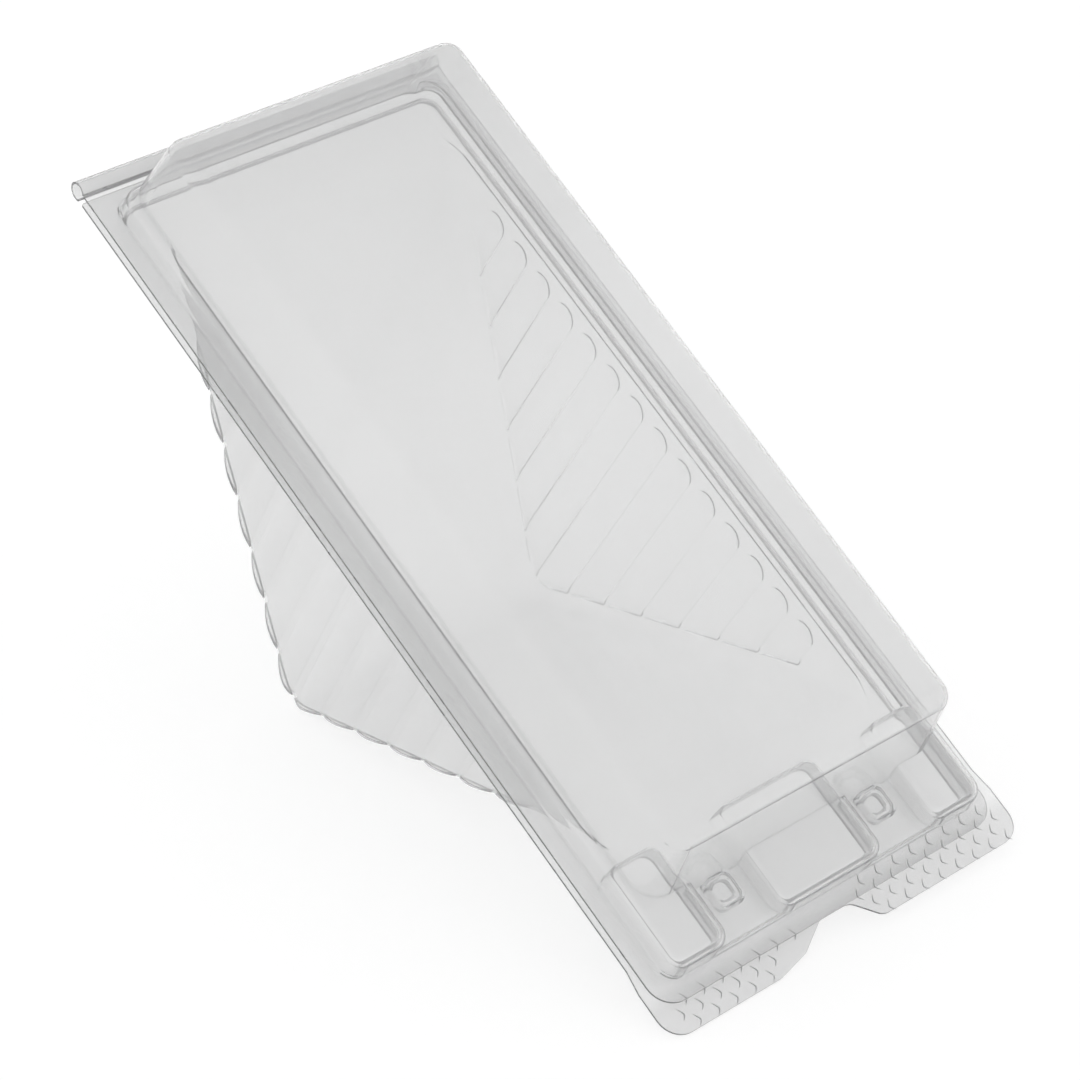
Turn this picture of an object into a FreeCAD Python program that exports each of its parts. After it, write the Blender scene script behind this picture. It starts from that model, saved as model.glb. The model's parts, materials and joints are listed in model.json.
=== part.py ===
import FreeCAD, Part
import math
import os

os.makedirs("parts", exist_ok=True)
V = FreeCAD.Vector

# Sheet, overall outline and gaps between the two halves, millimetres
SHEET = 0.45
PACK_LENGTH = 182.0
PACK_WIDTH = 83.6
FLANGE_GAP = 1.7
NEST_GAP = 0.35
OVERCUT = 0.1
SEAT_FACTOR = 0.55

# Raised rim of the tray and the wedge pocket below it
RIM_HEIGHT = 2.0
RIM_INSET = 5.0
RIM_ROUND = 1.5
POCKET_START = 16.5
POCKET_LENGTH = 134.4
POCKET_INSET = 8.4
LEG_ANGLE = 43.4
APEX_RADIUS = 7.0
RIM_RADIUS = 12.0
RIM_CREASE = 12.0
POCKET_DRAFT = 2.6
CORNER_RADIUS = 3.4
FLUTE_COUNT = 14
FLUTE_PITCH = 7.7
FLUTE_RADIUS = 8.0
FLUTE_BULGE = 0.6
FLUTE_GAP = 0.8
FLUTE_TOP = 2.4
FLUTE_FOOT = 1.6

# Lid: first step, raised body and label panel
STEP_INSET = 4.1
STEP_HEIGHT = 5.3
STEP_CORNER = 4.0
STEP_ROUND = 1.6
BODY_INSET = 8.4
BODY_HINGE_INSET = 6.1
BODY_TAB_GAP = 14.4
BODY_HEIGHT = 20.6
BODY_CORNER = 3.2
BODY_ROUND = 2.8
BODY_DRAFT = 9.0
WALL_DRAFT = 4.5

# Platform at the opening end, its two channels and the press buttons
PLATFORM_MARGIN = 4.0
PLATFORM_CORNER = 3.0
TRAY_PLATFORM_LENGTH = 21.2
CHANNEL_OFFSET = 18.6
CHANNEL_WIDTH = 12.4
CHANNEL_FLOOR = 1.3
BUTTON_TOP = 6.0
BUTTON_RISE = 1.8
BUTTON_MARGIN = 12.7
BUTTON_DRAFT = 11.0
BUTTON_CORNER = 1.2
BUTTON_ROUND_SHARE = 0.25

# Grip tabs and rounded outlines
GRIP_REACH = 4.9
GRIP_START = 44.0
GRIP_SLOPE = 4.6
GRIP_OVERHANG = 0.7
TRAY_GRIP_FULL = 25.0
TRAY_GRIP_END = 38.5
TRAY_EDGE_BACK = 0.5
OUTLINE_CORNER = 5.0
GRIP_CORNER = 4.5
NOTCH_RADIUS = 3.0

# Living hinge bead along the high end
BEAD_RADIUS = 1.75
BEAD_REACH = 1.6
BEAD_DROP = 0.45
BEAD_END_ANGLE = 298.0
BEAD_CLEARANCE = 0.3

# Levels and positions that follow from the sizes above
LID_BASE = FLANGE_GAP
LID_FLANGE_TOP = LID_BASE + SHEET
STEP_TOP = LID_BASE + STEP_HEIGHT
BODY_TOP = LID_BASE + BODY_HEIGHT
LID_CHANNEL_TOP = LID_FLANGE_TOP + CHANNEL_FLOOR - SHEET
LID_BUTTON_TOP = LID_CHANNEL_TOP + BUTTON_RISE
PLATFORM_END = PACK_LENGTH - PLATFORM_MARGIN
BODY_END = PLATFORM_END - BODY_TAB_GAP
NEST_DROP = SHEET + NEST_GAP
BEAD_CENTRE_Z = LID_FLANGE_TOP - SHEET / 2 - BEAD_DROP * BEAD_REACH
BEAD_OUTER = BEAD_RADIUS + SHEET / 2
POCKET_MID = POCKET_START + POCKET_LENGTH / 2
FLUTE_SPREAD = math.degrees(math.asin((FLUTE_PITCH - FLUTE_GAP) / 2 / FLUTE_RADIUS))
MID_WIDTH = PACK_WIDTH / 2
SIDES = (-1, 1)


def sine(angle):
    return math.sin(math.radians(angle))


def cosine(angle):
    return math.cos(math.radians(angle))


def slope(angle):
    return math.tan(math.radians(angle))


# Outlines and simple bodies
def rounded_outline(corners, z):
    edges = []
    starts = []
    ends = []
    count = len(corners)
    for i, (x, y, radius) in enumerate(corners):
        before = corners[i - 1]
        after = corners[(i + 1) % count]
        corner = V(x, y, z)
        to_before = (V(before[0], before[1], z) - corner).normalize()
        to_after = (V(after[0], after[1], z) - corner).normalize()
        half = to_before.getAngle(to_after) / 2
        reach = radius / math.tan(half)
        middle = (to_before + to_after).normalize()
        centre = corner + middle * (radius / math.sin(half))
        start = corner + to_before * reach
        end = corner + to_after * reach
        edges.append(Part.Arc(start, centre - middle * radius, end).toShape())
        starts.append(start)
        ends.append(end)
    for i in range(count):
        edges.append(Part.LineSegment(ends[i], starts[(i + 1) % count]).toShape())
    return Part.Wire(Part.__sortEdges__(edges))


def plate(corners, z, thickness):
    return Part.Face(rounded_outline(corners, z)).extrude(V(0, 0, thickness))


def rectangle(x0, x1, y0, y1, radius):
    return [(x0, y0, radius), (x1, y0, radius), (x1, y1, radius), (x0, y1, radius)]


def tapered_block(top_box, bottom, top, draft, radius):
    x0, x1, y0, y1 = top_box
    spread = (top - bottom) * slope(draft)
    upper = rounded_outline(rectangle(x0, x1, y0, y1, radius), top)
    wide = rectangle(x0 - spread, x1 + spread, y0 - spread, y1 + spread, radius + spread)
    lower = rounded_outline(wide, bottom)
    return Part.makeLoft([lower, upper], True, True)


def round_rim(body, level, radius):
    rim = [e for e in body.Edges if abs(e.BoundBox.ZMin - level) + abs(e.BoundBox.ZMax - level) < OVERCUT]
    return body.makeFillet(radius, rim)


def inset_box(box, inset):
    x0, x1, y0, y1 = box
    return (x0 + inset, x1 - inset, y0 + inset, y1 - inset)


def joined(bodies):
    return bodies[0].multiFuse(bodies[1:]).removeSplitter()


# Wedge pocket: offset 0 is the food side of the sheet, offset SHEET its outside
def pocket_profile(offset, top):
    normal_x = sine(LEG_ANGLE)
    normal_z = cosine(LEG_ANGLE)
    centre_z = RIM_HEIGHT - RIM_RADIUS * cosine(RIM_CREASE)
    centre_gap = (RIM_RADIUS - (RIM_HEIGHT - centre_z) * normal_z) / normal_x
    radius = RIM_RADIUS - offset
    end_x = math.sqrt(radius ** 2 - (top - centre_z) ** 2)
    half_crease = math.degrees(math.asin(end_x / radius))
    middle_angle = (half_crease + LEG_ANGLE) / 2
    apex_drop = POCKET_LENGTH / 2 * slope(LEG_ANGLE)
    apex_radius = APEX_RADIUS - SHEET + offset
    apex_centre = RIM_HEIGHT - apex_drop + (APEX_RADIUS - SHEET) / normal_z
    points = []
    for side in SIDES:
        foot = POCKET_MID + side * (POCKET_LENGTH / 2 + centre_gap)
        arc_end = V(foot - side * end_x, 0, top)
        arc_mid = V(foot - side * radius * sine(middle_angle), 0, centre_z + radius * cosine(middle_angle))
        leg_top = V(foot - side * radius * normal_x, 0, centre_z + radius * normal_z)
        leg_end = V(POCKET_MID + side * apex_radius * normal_x, 0, apex_centre - apex_radius * normal_z)
        points.append((arc_end, arc_mid, leg_top, leg_end))
    (a0, a1, a2, a3), (b0, b1, b2, b3) = points
    bottom = V(POCKET_MID, 0, apex_centre - apex_radius)
    curves = [Part.Arc(a0, a1, a2), Part.LineSegment(a2, a3), Part.Arc(a3, bottom, b3)]
    curves += [Part.LineSegment(b3, b2), Part.Arc(b2, b1, b0), Part.LineSegment(b0, a0)]
    return Part.Face(Part.Wire([c.toShape() for c in curves]))


def side_wall_y(side, offset, z):
    inset = POCKET_INSET + (RIM_HEIGHT - z) * slope(POCKET_DRAFT) - offset / cosine(POCKET_DRAFT)
    return MID_WIDTH + side * (MID_WIDTH - inset)


def between_side_walls(offset):
    low = -POCKET_LENGTH
    high = RIM_HEIGHT + APEX_RADIUS
    rows = ((-1, low), (1, low), (1, high), (-1, high))
    corners = [V(-PACK_LENGTH, side_wall_y(side, offset, z), z) for side, z in rows]
    return Part.Face(Part.makePolygon(corners + corners[:1])).extrude(V(3 * PACK_LENGTH, 0, 0))


def wedge_slab(offset, top):
    return pocket_profile(offset, top).extrude(V(0, PACK_WIDTH, 0))


def wedge_core(offset, top):
    core = wedge_slab(offset, top).common(between_side_walls(offset))
    edges = []
    for edge in core.Edges:
        spread = edge.BoundBox.YMax - edge.BoundBox.YMin
        below = edge.BoundBox.ZMin < top - OVERCUT
        crosses = spread > MID_WIDTH / 2
        if below and not crosses:
            edges.append(edge)
    return core.makeFillet(CORNER_RADIUS - SHEET + offset, edges)


def flute(side, x, offset):
    radius = FLUTE_RADIUS - SHEET + offset
    sunk = FLUTE_BULGE - FLUTE_RADIUS + SHEET
    crown_height = math.sqrt(FLUTE_RADIUS ** 2 - (FLUTE_RADIUS - FLUTE_BULGE) ** 2)
    top_z = RIM_HEIGHT - FLUTE_TOP - crown_height
    foot_z = RIM_HEIGHT - POCKET_LENGTH / 2 * slope(LEG_ANGLE)
    start = V(x, side_wall_y(side, sunk, top_z), top_z)
    end = V(x, side_wall_y(side, sunk, foot_z), foot_z)
    axis = (end - start).normalize()
    across = V(1, 0, 0)
    crown = start - axis * radius
    shoulder = start - axis * (radius * cosine(45)) + across * (radius * sine(45))
    rim = start + across * radius
    heel = end + across * radius
    curves = [Part.Arc(crown, shoulder, rim), Part.LineSegment(rim, heel)]
    curves += [Part.LineSegment(heel, end), Part.LineSegment(end, crown)]
    section = Part.Face(Part.Wire([c.toShape() for c in curves]))
    section.rotate(start, axis, side * (FLUTE_SPREAD - 90))
    return section.revolve(start, axis, -side * 2 * FLUTE_SPREAD)


def flutes(offset, top):
    first = POCKET_MID - FLUTE_PITCH * (FLUTE_COUNT - 1) / 2
    bodies = [flute(side, first + FLUTE_PITCH * i, offset) for side in SIDES for i in range(FLUTE_COUNT)]
    return Part.Compound(bodies).common(wedge_slab(offset - FLUTE_FOOT, top)).Solids


def pocket(offset, top):
    return joined([wedge_core(offset, top)] + flutes(offset, top))


# Hinge bead: an open ring that joins the lid flange and stops short of the tray flange
def bead_point(radius, angle):
    return V(-BEAD_REACH + radius * cosine(angle), 0, BEAD_CENTRE_Z + radius * sine(angle))


def hinge_bead():
    inner = BEAD_OUTER - SHEET
    start = math.degrees(math.asin((LID_FLANGE_TOP - SHEET / 2 - BEAD_CENTRE_Z) / BEAD_RADIUS))
    middle = (start + BEAD_END_ANGLE) / 2
    outside = Part.Arc(*[bead_point(BEAD_OUTER, a) for a in (start, middle, BEAD_END_ANGLE)])
    inside = Part.Arc(*[bead_point(inner, a) for a in (BEAD_END_ANGLE, middle, start)])
    tip = Part.LineSegment(bead_point(BEAD_OUTER, BEAD_END_ANGLE), bead_point(inner, BEAD_END_ANGLE))
    root = Part.LineSegment(bead_point(inner, start), bead_point(BEAD_OUTER, start))
    section = Part.Face(Part.Wire([c.toShape() for c in (outside, tip, inside, root)]))
    return section.extrude(V(0, PACK_WIDTH, 0))


def lid_flange_start():
    inner = BEAD_OUTER - SHEET
    rise = LID_BASE - BEAD_CENTRE_Z
    return -BEAD_REACH + math.sqrt(inner ** 2 - rise ** 2) + SHEET * SEAT_FACTOR


def tray_flange_start():
    keep_out = BEAD_OUTER + BEAD_CLEARANCE
    return -BEAD_REACH + math.sqrt(keep_out ** 2 - BEAD_CENTRE_Z ** 2)


# Flange outlines with the two staggered grip tabs
def lid_outline():
    grip_x = PACK_LENGTH + GRIP_REACH
    far = PACK_WIDTH + GRIP_OVERHANG
    return [
        (lid_flange_start(), 0, SHEET),
        (PACK_LENGTH, 0, OUTLINE_CORNER),
        (PACK_LENGTH, GRIP_START, NOTCH_RADIUS),
        (grip_x, GRIP_START + GRIP_SLOPE, NOTCH_RADIUS),
        (grip_x, far, GRIP_CORNER),
        (PACK_LENGTH - GRIP_REACH, far, NOTCH_RADIUS),
        (PACK_LENGTH - GRIP_REACH - GRIP_SLOPE, PACK_WIDTH, NOTCH_RADIUS),
        (lid_flange_start(), PACK_WIDTH, SHEET),
    ]


def tray_outline():
    grip_x = PACK_LENGTH + GRIP_REACH
    edge_x = PACK_LENGTH - TRAY_EDGE_BACK
    return [
        (tray_flange_start(), 0, SHEET),
        (PACK_LENGTH - GRIP_REACH - GRIP_SLOPE, 0, NOTCH_RADIUS),
        (PACK_LENGTH - GRIP_REACH, -GRIP_OVERHANG, NOTCH_RADIUS),
        (grip_x, -GRIP_OVERHANG, GRIP_CORNER),
        (grip_x, TRAY_GRIP_FULL, NOTCH_RADIUS),
        (grip_x - NOTCH_RADIUS / 2, (TRAY_GRIP_FULL + TRAY_GRIP_END) / 2, NOTCH_RADIUS),
        (edge_x, TRAY_GRIP_END, NOTCH_RADIUS),
        (edge_x, PACK_WIDTH, OUTLINE_CORNER),
        (tray_flange_start(), PACK_WIDTH, SHEET),
    ]


# Platform blocks and buttons, shared by both halves; inset 0 is the outside of the lid
def platform_blocks(start, bottom, top, inset):
    edges = [STEP_INSET + inset]
    for side in SIDES:
        for flank in SIDES:
            channel = MID_WIDTH + side * CHANNEL_OFFSET
            edges.append(channel + flank * (CHANNEL_WIDTH / 2 + inset))
    edges.append(PACK_WIDTH - STEP_INSET - inset)
    bodies = []
    for left, right in zip(edges[0::2], edges[1::2]):
        box = (start, PLATFORM_END - inset, left, right)
        block = tapered_block(box, bottom, top, WALL_DRAFT, PLATFORM_CORNER - inset)
        bodies.append(round_rim(block, top, STEP_ROUND - inset))
    return bodies


def buttons(top_level, bottom_level, inset):
    bodies = []
    x = PACK_LENGTH - BUTTON_MARGIN
    half = BUTTON_TOP / 2 - inset
    for side in SIDES:
        y = MID_WIDTH + side * CHANNEL_OFFSET
        box = (x - half, x + half, y - half, y + half)
        button = tapered_block(box, bottom_level, top_level, BUTTON_DRAFT, BUTTON_CORNER)
        bodies.append(round_rim(button, top_level, half * BUTTON_ROUND_SHARE))
    return bodies


# Lid half: offset 0 is the outside of the sheet, offset SHEET its inside
def lid_body(offset, bottom):
    box = inset_box((BODY_HINGE_INSET, BODY_END, BODY_INSET, PACK_WIDTH - BODY_INSET), offset)
    block = tapered_block(box, bottom, BODY_TOP - offset, BODY_DRAFT, BODY_CORNER - offset)
    return round_rim(block, BODY_TOP - offset, BODY_ROUND - offset)


def lid_step(offset, bottom):
    box = inset_box((STEP_INSET, BODY_END, STEP_INSET, PACK_WIDTH - STEP_INSET), offset)
    block = tapered_block(box, bottom, STEP_TOP - offset, WALL_DRAFT, STEP_CORNER - offset)
    return round_rim(block, STEP_TOP - offset, STEP_ROUND - offset)


def lid_floor(offset, bottom):
    flare = (STEP_TOP - LID_CHANNEL_TOP) * slope(WALL_DRAFT)
    box = inset_box((STEP_INSET, PLATFORM_END, STEP_INSET, PACK_WIDTH - STEP_INSET), offset - flare)
    return tapered_block(box, bottom, LID_CHANNEL_TOP - offset, WALL_DRAFT, PLATFORM_CORNER - offset)


def lid_platform(offset, bottom):
    return platform_blocks(BODY_END - STEP_CORNER * 2, bottom, STEP_TOP - offset, offset)


def lid_side(offset, bottom):
    bodies = [lid_floor(offset, bottom), lid_step(offset, bottom), lid_body(offset, bottom)]
    bodies += lid_platform(offset, bottom)
    return bodies + buttons(LID_BUTTON_TOP - offset, LID_CHANNEL_TOP - offset - OVERCUT, offset)


def lid():
    flange = plate(lid_outline(), LID_BASE, SHEET)
    outside = joined([flange, hinge_bead()] + lid_side(0, LID_BASE + SHEET / 2))
    inside = joined(lid_side(SHEET, LID_BASE - OVERCUT))
    return outside.cut(inside)


# Tray half: offset 0 is the upper side of the sheet, offset SHEET its underside
def tray_rim(offset, bottom):
    flare = (STEP_TOP - NEST_DROP - RIM_HEIGHT) * slope(WALL_DRAFT)
    end = PLATFORM_END - NEST_DROP + flare
    box = inset_box((RIM_INSET, end, RIM_INSET, PACK_WIDTH - RIM_INSET), offset)
    block = tapered_block(box, bottom, RIM_HEIGHT - offset, WALL_DRAFT, PLATFORM_CORNER)
    return round_rim(block, RIM_HEIGHT - offset, RIM_ROUND - offset)


def tray_platform(offset, bottom):
    start = PLATFORM_END - TRAY_PLATFORM_LENGTH + offset
    return platform_blocks(start, bottom, STEP_TOP - NEST_DROP - offset, NEST_DROP + offset)


def tray_side(offset, bottom):
    bodies = [tray_rim(offset, bottom)] + tray_platform(offset, bottom)
    top = LID_BUTTON_TOP - NEST_DROP - offset
    return bodies + buttons(top, RIM_HEIGHT - offset - OVERCUT, NEST_DROP + offset)


def base_tray():
    flange = plate(tray_outline(), -SHEET, SHEET)
    above = joined([flange] + tray_side(0, -SHEET / 2))
    below = joined(tray_side(SHEET, -SHEET - OVERCUT))
    deck = above.cut(below)
    deck = deck.fuse(pocket(SHEET, RIM_HEIGHT - SHEET / 2))
    return deck.cut(pocket(0, RIM_HEIGHT + OVERCUT)).removeSplitter()


# The closed pack lies on the apex of the wedge and the edge of the tray grip
def rest_tilt():
    apex_z = RIM_HEIGHT - POCKET_LENGTH / 2 * slope(LEG_ANGLE)
    apex_z += (APEX_RADIUS - SHEET) / cosine(LEG_ANGLE)
    run = PACK_LENGTH + GRIP_REACH - POCKET_MID
    rise = -SHEET - apex_z
    return math.degrees(math.atan2(rise, run) + math.asin(APEX_RADIUS / math.hypot(run, rise)))


def at_rest(point):
    tilt = rest_tilt()
    x = point.x * cosine(tilt) + point.z * sine(tilt)
    z = point.z * cosine(tilt) - point.x * sine(tilt)
    return V(x, point.y, z)


def rest_placement():
    left = at_rest(V(-BEAD_REACH, 0, BEAD_CENTRE_Z)).x - BEAD_OUTER
    right = at_rest(V(PACK_LENGTH + GRIP_REACH, 0, LID_FLANGE_TOP)).x
    floor = at_rest(V(PACK_LENGTH + GRIP_REACH, 0, -SHEET)).z
    shift = V(-(left + right) / 2, -MID_WIDTH, -floor)
    return FreeCAD.Placement(shift, FreeCAD.Rotation(V(0, 1, 0), rest_tilt()))


def write_part(name, shape):
    placed = shape.copy()
    placed.Placement = rest_placement()
    placed.exportStep("parts/" + name + ".step")
    print(name, placed.isValid(), len(placed.Solids), round(placed.Volume), placed.BoundBox)


write_part("base_tray", base_tray())
write_part("lid", lid())
hinge = rest_placement().multVec(V(-BEAD_REACH, MID_WIDTH, BEAD_CENTRE_Z))
print("hinge centre", hinge, "tilt", rest_tilt())
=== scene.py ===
import bpy
import json
import math
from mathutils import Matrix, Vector


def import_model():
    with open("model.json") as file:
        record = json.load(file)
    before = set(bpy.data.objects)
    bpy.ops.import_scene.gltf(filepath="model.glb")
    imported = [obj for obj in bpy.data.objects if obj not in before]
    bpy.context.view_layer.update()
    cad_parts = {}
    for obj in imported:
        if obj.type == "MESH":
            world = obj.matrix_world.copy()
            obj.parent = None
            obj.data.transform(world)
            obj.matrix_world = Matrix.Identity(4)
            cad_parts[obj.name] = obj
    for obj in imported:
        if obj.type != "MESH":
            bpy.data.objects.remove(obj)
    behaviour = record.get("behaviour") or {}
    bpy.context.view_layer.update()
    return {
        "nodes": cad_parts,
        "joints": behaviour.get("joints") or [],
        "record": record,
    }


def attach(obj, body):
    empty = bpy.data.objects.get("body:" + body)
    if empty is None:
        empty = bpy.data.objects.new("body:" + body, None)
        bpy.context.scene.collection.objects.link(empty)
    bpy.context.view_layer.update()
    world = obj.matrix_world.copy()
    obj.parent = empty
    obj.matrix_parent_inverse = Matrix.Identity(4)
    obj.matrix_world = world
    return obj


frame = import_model()

MM = 0.001

# Camera, fitted to the photograph's straight lines
CAMERA_AZIMUTH = 48.83
CAMERA_ELEVATION = 32.99
CAMERA_DISTANCE = 0.643
CAMERA_TARGET = (-0.0009, 0.0, 0.0422)
CAMERA_LENS = 117.65
CAMERA_SENSOR = 36.0
CAMERA_NEAR = 0.01
CAMERA_FAR = 20.0

# Clear sheet: the two greys it is tinted with, the share that is clear, and its gloss
SHEET_LIGHT = (0.994, 0.995, 0.996, 1.0)
SHEET_DARK = (0.984, 0.985, 0.986, 1.0)
SHEET_CLEAR = 0.82
SHEET_INDEX = 1.4
SHEET_ROUGHNESS = 0.04

# Where along the pack the sheet turns greyer: on the grip tabs and towards the hinge
TAB_GREY = 0.88
TAB_FROM = 178.5 * MM
TAB_TO = 181.5 * MM
HIGH_GREY = 0.95
HIGH_FROM = 75.0 * MM
HIGH_TO = 10.0 * MM

# Unevenness of the sheet, and the part of a noise's range that is used
WAVE_SCALE = 22.0
WAVE_DEPTH = 0.0002
CLOUD_SCALE = 30.0
CLOUD_DETAIL = 4.0
NOISE_DETAIL = 2.0
NOISE_FROM = 0.35
NOISE_TO = 0.65

# Painted shade: darker plastic for the cut edges and the grip ticks, in place of the dark rims and arcs
# that light bent in the sheet gives
EDGE_PAINTED_SHADE = (0.3, 0.303, 0.306, 1.0)
TICK_PAINTED_SHADE = (0.62, 0.623, 0.626, 1.0)
EDGE_INDEX = 1.45
EDGE_CLEAR = 0.5
EDGE_SCALE = 120.0
EDGE_ROUGHNESS = (0.25, 0.45)
EDGE_UPRIGHT = 0.5

# Sockets of a mix node that mixes colours
MIX_A = 6
MIX_B = 7
MIX_RESULT = 2

# Sizes of the pack, as in the part's source
SHEET = 0.45 * MM
PACK_WIDTH = 83.6 * MM
LID_BASE = 1.7 * MM
LID_FLANGE_TOP = LID_BASE + SHEET
HINGE_X = -1.6 * MM
HINGE_Z = 1.205 * MM
LEVEL_SLACK = 0.03 * MM

# Grip ticks: rows of small curved ridges, half a pitch apart from row to row
TICK_PITCH = 4.3 * MM
TICK_ROW = 2.15 * MM
TICK_WIDTH = 0.27 * MM
TICK_END_SHARE = 0.15
TICK_CURVE = 1.3
TICK_STEPS = 7
TICK_SIDES = 6
TICK_ARM_BACK = 1.55 * MM
TICK_ARM_FRONT = 0.95 * MM
TICK_DEPTH = 0.85 * MM
LID_TICK_ROWS = 4
LID_TICK_X = 179.75 * MM
LID_TICK_Y = 44.0 * MM
LID_TICK_END = 82.2 * MM
LID_TICK_SLOPE = 0.8
TRAY_TICK_ROWS = 3
TRAY_TICK_X = 181.55 * MM
TRAY_TICK_Y = 2.2 * MM
TRAY_TICK_END = 33.0 * MM
TRAY_TICK_SLOPE = 1.6

# Sky: its strength falls from one height of the direction to the other
SKY_FADE_FROM = 0.35
SKY_FADE_TO = 0.75
SKY_BRIGHT = 1.0
SKY_DIM = 0.8

# Floor: its colour for soft light, and its shade and glow where it is seen
FLOOR_RADIUS = 3.0
FLOOR_SIDES = 96
FLOOR_LEVEL = -0.0002
FLOOR_SOFT = (0.8, 0.8, 0.8, 1)
FLOOR_SHADE = (0.3, 0.3, 0.3, 1)
FLOOR_GLOW = 0.77
WHITE = (1, 1, 1, 1)

LIGHT_BOUNCES = 20
DIFFUSE_BOUNCES = 4
TRANSPARENT_BOUNCES = 24


def node(tree, kind, inputs=None, **settings):
    made = tree.nodes.new(kind)
    for name, value in settings.items():
        setattr(made, name, value)
    for name, value in (inputs or {}).items():
        if isinstance(value, bpy.types.NodeSocket):
            tree.links.new(value, made.inputs[name])
        else:
            made.inputs[name].default_value = value
    return made


def new_material(name):
    material = bpy.data.materials.new(name)
    material.use_nodes = True
    material.node_tree.nodes.clear()
    return material, material.node_tree


def noise(tree, scale, detail=NOISE_DETAIL):
    place = node(tree, "ShaderNodeTexCoord").outputs["Object"]
    inputs = {"Vector": place, "Scale": scale, "Detail": detail}
    return node(tree, "ShaderNodeTexNoise", inputs).outputs["Fac"]


def between(tree, value, low, high, start=NOISE_FROM, end=NOISE_TO):
    inputs = {"Value": value, "From Min": start, "From Max": end, "To Min": low, "To Max": high}
    return node(tree, "ShaderNodeMapRange", inputs).outputs[0]


# The pack's own directions: along its length, across it and up through its lid
def pack_axes():
    up = Vector(frame["record"]["mounts"][0]["axis"]).normalized()
    across = Vector((0, 1, 0))
    return across.cross(up), across, up


def hinge_point():
    return Vector(frame["joints"][0]["pos_m"])


# From the coordinates of the part's source to the row frame
def in_row(x, y, z):
    along, across, up = pack_axes()
    return hinge_point() + along * (x - HINGE_X) + across * (y - PACK_WIDTH / 2) + up * (z - HINGE_Z)


# The sheet is a little greyer on the grip tabs and towards the hinge
def grey_by_length(tree):
    along = pack_axes()[0]
    start = hinge_point().dot(along) - HINGE_X
    place = node(tree, "ShaderNodeTexCoord").outputs["Object"]
    dot = node(tree, "ShaderNodeVectorMath", {0: place, 1: along}, operation="DOT_PRODUCT")
    values = {0: dot.outputs["Value"], 1: start}
    from_start = node(tree, "ShaderNodeMath", values, operation="SUBTRACT").outputs[0]
    tab = between(tree, from_start, 1.0, TAB_GREY, TAB_FROM, TAB_TO)
    high = between(tree, from_start, HIGH_GREY, 1.0, HIGH_TO, HIGH_FROM)
    return node(tree, "ShaderNodeMath", {0: tab, 1: high}, operation="MULTIPLY").outputs[0]


def sheet_material(name):
    material, tree = new_material(name)
    sag = node(tree, "ShaderNodeBump", {
        "Height": noise(tree, WAVE_SCALE), "Strength": 1.0, "Distance": WAVE_DEPTH})
    cloud = between(tree, noise(tree, CLOUD_SCALE, CLOUD_DETAIL), 0.0, 1.0)
    grey = node(tree, "ShaderNodeMix", {
        "Factor": cloud, MIX_A: SHEET_DARK, MIX_B: SHEET_LIGHT}, data_type="RGBA")
    tinted = node(tree, "ShaderNodeVectorMath", {
        0: grey.outputs[MIX_RESULT], "Scale": grey_by_length(tree)}, operation="SCALE")
    shader = node(tree, "ShaderNodeBsdfPrincipled", {
        "Base Color": tinted.outputs[0], "Roughness": SHEET_ROUGHNESS, "IOR": SHEET_INDEX,
        "Normal": sag.outputs[0], "Transmission Weight": SHEET_CLEAR})
    node(tree, "ShaderNodeOutputMaterial", {"Surface": shader.outputs[0]})
    return material


# Painted shade: a darker, half-clear plastic with uneven roughness
def painted_shade_material(name, grey):
    material, tree = new_material(name)
    roughness = between(tree, noise(tree, EDGE_SCALE), *EDGE_ROUGHNESS)
    shader = node(tree, "ShaderNodeBsdfPrincipled", {
        "Base Color": grey, "Roughness": roughness, "IOR": EDGE_INDEX,
        "Transmission Weight": EDGE_CLEAR})
    node(tree, "ShaderNodeOutputMaterial", {"Surface": shader.outputs[0]})
    return material


# Painted shade: the cut edges of the two flanges get the darker material, in place of the dark rim that
# light caught inside the sheet gives them
def mark_cut_edges(part, low, high, material):
    up = pack_axes()[2]
    start = hinge_point().dot(up) - HINGE_Z
    heights = [v.co.dot(up) - start for v in part.data.vertices]
    part.data.materials.append(material)
    for face in part.data.polygons:
        levels = [heights[i] for i in face.vertices]
        upright = abs(face.normal.dot(up)) < EDGE_UPRIGHT
        inside = min(levels) > low - LEVEL_SLACK and max(levels) < high + LEVEL_SLACK
        if upright and inside:
            face.material_index = len(part.data.materials) - 1


# The middle line of one tick: a bend that points to side, with one arm longer than the other
def tick_path(x, y, side):
    points = []
    for i in range(TICK_STEPS):
        share = 2 * i / (TICK_STEPS - 1) - 1
        arm = TICK_ARM_BACK if share < 0 else TICK_ARM_FRONT
        points.append((x + share * arm, y - side * TICK_DEPTH * abs(share) ** TICK_CURVE))
    return points


# A closed tube along the path, thinner at both ends
def tick_mesh(path, level):
    rows = []
    for i, (x, y) in enumerate(path):
        bulge = math.sin(math.pi * i / (len(path) - 1))
        width = TICK_WIDTH / 2 * (TICK_END_SHARE + (1 - TICK_END_SHARE) * bulge)
        before = path[max(i - 1, 0)]
        after = path[min(i + 1, len(path) - 1)]
        heading = math.atan2(after[1] - before[1], after[0] - before[0])
        side_x = -math.sin(heading)
        side_y = math.cos(heading)
        for k in range(TICK_SIDES):
            turn = 2 * math.pi * k / TICK_SIDES
            out = width * math.cos(turn)
            rows.append(in_row(x + side_x * out, y + side_y * out, level + width * math.sin(turn)))
    faces = [tuple(range(TICK_SIDES))[::-1], tuple(range(len(rows) - TICK_SIDES, len(rows)))]
    for i in range(len(path) - 1):
        for k in range(TICK_SIDES):
            a = i * TICK_SIDES + k
            b = i * TICK_SIDES + (k + 1) % TICK_SIDES
            faces.append((a, b, b + TICK_SIDES, a + TICK_SIDES))
    return rows, faces


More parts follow.
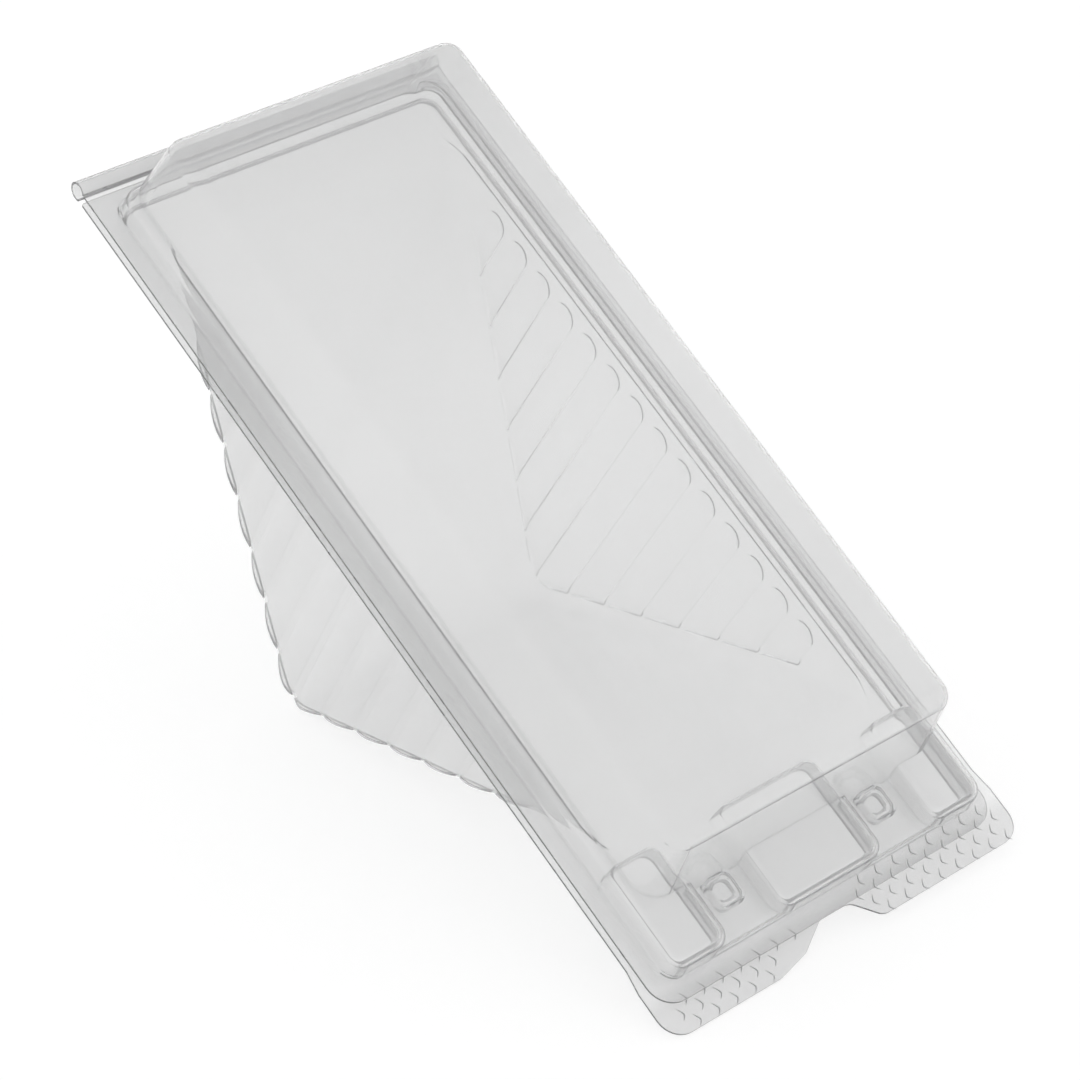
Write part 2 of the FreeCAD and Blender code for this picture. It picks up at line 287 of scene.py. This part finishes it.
# The slopes cut the rows shorter the further they are from the first one
def tick_places(start_x, start_y, end_y, rows, slope_in, slope_out):
    places = []
    for row in range(rows):
        reach = row * TICK_ROW
        y = start_y + (row % 2) * TICK_PITCH / 2
        while y < end_y - slope_out * reach:
            if y > start_y + slope_in * reach:
                places.append((start_x + reach, y))
            y += TICK_PITCH
    return places


def ticks(name, body, places, side, level, material):
    verts = []
    faces = []
    for x, y in places:
        more, sides = tick_mesh(tick_path(x, y, side), level)
        faces += [tuple(i + len(verts) for i in face) for face in sides]
        verts += more
    mesh = bpy.data.meshes.new(name)
    mesh.from_pydata(verts, [], faces)
    mesh.validate()
    mesh.materials.append(material)
    mesh.shade_smooth()
    piece = bpy.data.objects.new(name, mesh)
    bpy.context.scene.collection.objects.link(piece)
    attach(piece, body)
    return piece


# 1 for a ray from the camera, from a reflection or through the sheet, and 0 for soft light
def seen_directly(tree):
    path = node(tree, "ShaderNodeLightPath")
    seen = path.outputs["Is Camera Ray"]
    for kind in ("Is Glossy Ray", "Is Transmission Ray"):
        values = {0: seen, 1: path.outputs[kind]}
        seen = node(tree, "ShaderNodeMath", values, operation="MAXIMUM").outputs[0]
    return seen


# A white sky, dimmer overhead, that the camera itself sees plain white
def world():
    made = bpy.data.worlds.new("studio")
    bpy.context.scene.world = made
    made.use_nodes = True
    made.cycles.sampling_method = "NONE"
    tree = made.node_tree
    tree.nodes.clear()
    direction = node(tree, "ShaderNodeTexCoord").outputs["Generated"]
    up = node(tree, "ShaderNodeSeparateXYZ", {0: direction}).outputs["Z"]
    ramp = node(tree, "ShaderNodeMapRange", {
        "Value": up, "From Min": SKY_FADE_FROM, "From Max": SKY_FADE_TO,
        "To Min": SKY_BRIGHT, "To Max": SKY_DIM}, interpolation_type="SMOOTHSTEP")
    path = node(tree, "ShaderNodeLightPath")
    level = node(tree, "ShaderNodeMix", {
        "Factor": path.outputs["Is Camera Ray"], "A": ramp.outputs[0], "B": SKY_BRIGHT,
    }, data_type="FLOAT")
    background = node(tree, "ShaderNodeBackground", {"Color": WHITE, "Strength": level.outputs[0]})
    node(tree, "ShaderNodeOutputWorld", {"Surface": background.outputs[0]})


# The floor glows only where it is seen, so that it comes out nearly white with a faint shadow
def floor():
    bpy.ops.mesh.primitive_circle_add(
        vertices=FLOOR_SIDES, radius=FLOOR_RADIUS, fill_type="NGON", location=(0, 0, FLOOR_LEVEL))
    disc = bpy.context.object
    disc.name = "floor"
    material, tree = new_material("floor_white")
    soft = node(tree, "ShaderNodeBsdfDiffuse", {"Color": FLOOR_SOFT})
    shade = node(tree, "ShaderNodeBsdfDiffuse", {"Color": FLOOR_SHADE})
    glow = node(tree, "ShaderNodeEmission", {"Color": WHITE, "Strength": FLOOR_GLOW})
    both = node(tree, "ShaderNodeAddShader", {0: shade.outputs[0], 1: glow.outputs[0]})
    mix = node(tree, "ShaderNodeMixShader", {
        0: seen_directly(tree), 1: soft.outputs[0], 2: both.outputs[0]})
    node(tree, "ShaderNodeOutputMaterial", {"Surface": mix.outputs[0]})
    material.cycles.emission_sampling = "NONE"
    disc.data.materials.append(material)


def camera():
    data = bpy.data.cameras.new("camera")
    data.lens = CAMERA_LENS
    data.sensor_width = CAMERA_SENSOR
    data.clip_start = CAMERA_NEAR
    data.clip_end = CAMERA_FAR
    made = bpy.data.objects.new("camera", data)
    bpy.context.scene.collection.objects.link(made)
    azimuth = math.radians(CAMERA_AZIMUTH)
    elevation = math.radians(CAMERA_ELEVATION)
    level = math.cos(elevation)
    back = Vector((math.sin(azimuth) * level, -math.cos(azimuth) * level, math.sin(elevation)))
    made.location = Vector(CAMERA_TARGET) + back * CAMERA_DISTANCE
    made.rotation_euler = (-back).to_track_quat("-Z", "Y").to_euler()
    bpy.context.scene.camera = made


world()
floor()
camera()
clear = sheet_material("clear_sheet")
# Painted shade: the cut edges and the grip ticks get a darker plastic
cut_edge_shade = painted_shade_material("cut_edge", EDGE_PAINTED_SHADE)
tick_shade = painted_shade_material("tick_ridge", TICK_PAINTED_SHADE)
for name, low, high in (("base_tray", -SHEET, 0.0), ("lid", LID_BASE, LID_FLANGE_TOP)):
    part = frame["nodes"][name]
    part.data.materials.clear()
    part.data.materials.append(clear)
    mark_cut_edges(part, low, high, cut_edge_shade)

# The ticks' darker plastic is painted shade, in place of the dark arcs that light gives the tab's
# dimples
lid_places = tick_places(LID_TICK_X, LID_TICK_Y, LID_TICK_END, LID_TICK_ROWS, LID_TICK_SLOPE, 0.0)
lid_ticks = ticks("lid_grip_ticks", "lid", lid_places, -1, LID_FLANGE_TOP, tick_shade)
tray_places = tick_places(TRAY_TICK_X, TRAY_TICK_Y, TRAY_TICK_END, TRAY_TICK_ROWS, 0.0, TRAY_TICK_SLOPE)
tray_ticks = ticks("tray_grip_ticks", "base_tray", tray_places, 1, 0.0, tick_shade)

scene = bpy.context.scene
scene.view_settings.view_transform = "Standard"
scene.cycles.max_bounces = LIGHT_BOUNCES
scene.cycles.transmission_bounces = LIGHT_BOUNCES
scene.cycles.diffuse_bounces = DIFFUSE_BOUNCES
scene.cycles.transparent_max_bounces = TRANSPARENT_BOUNCES
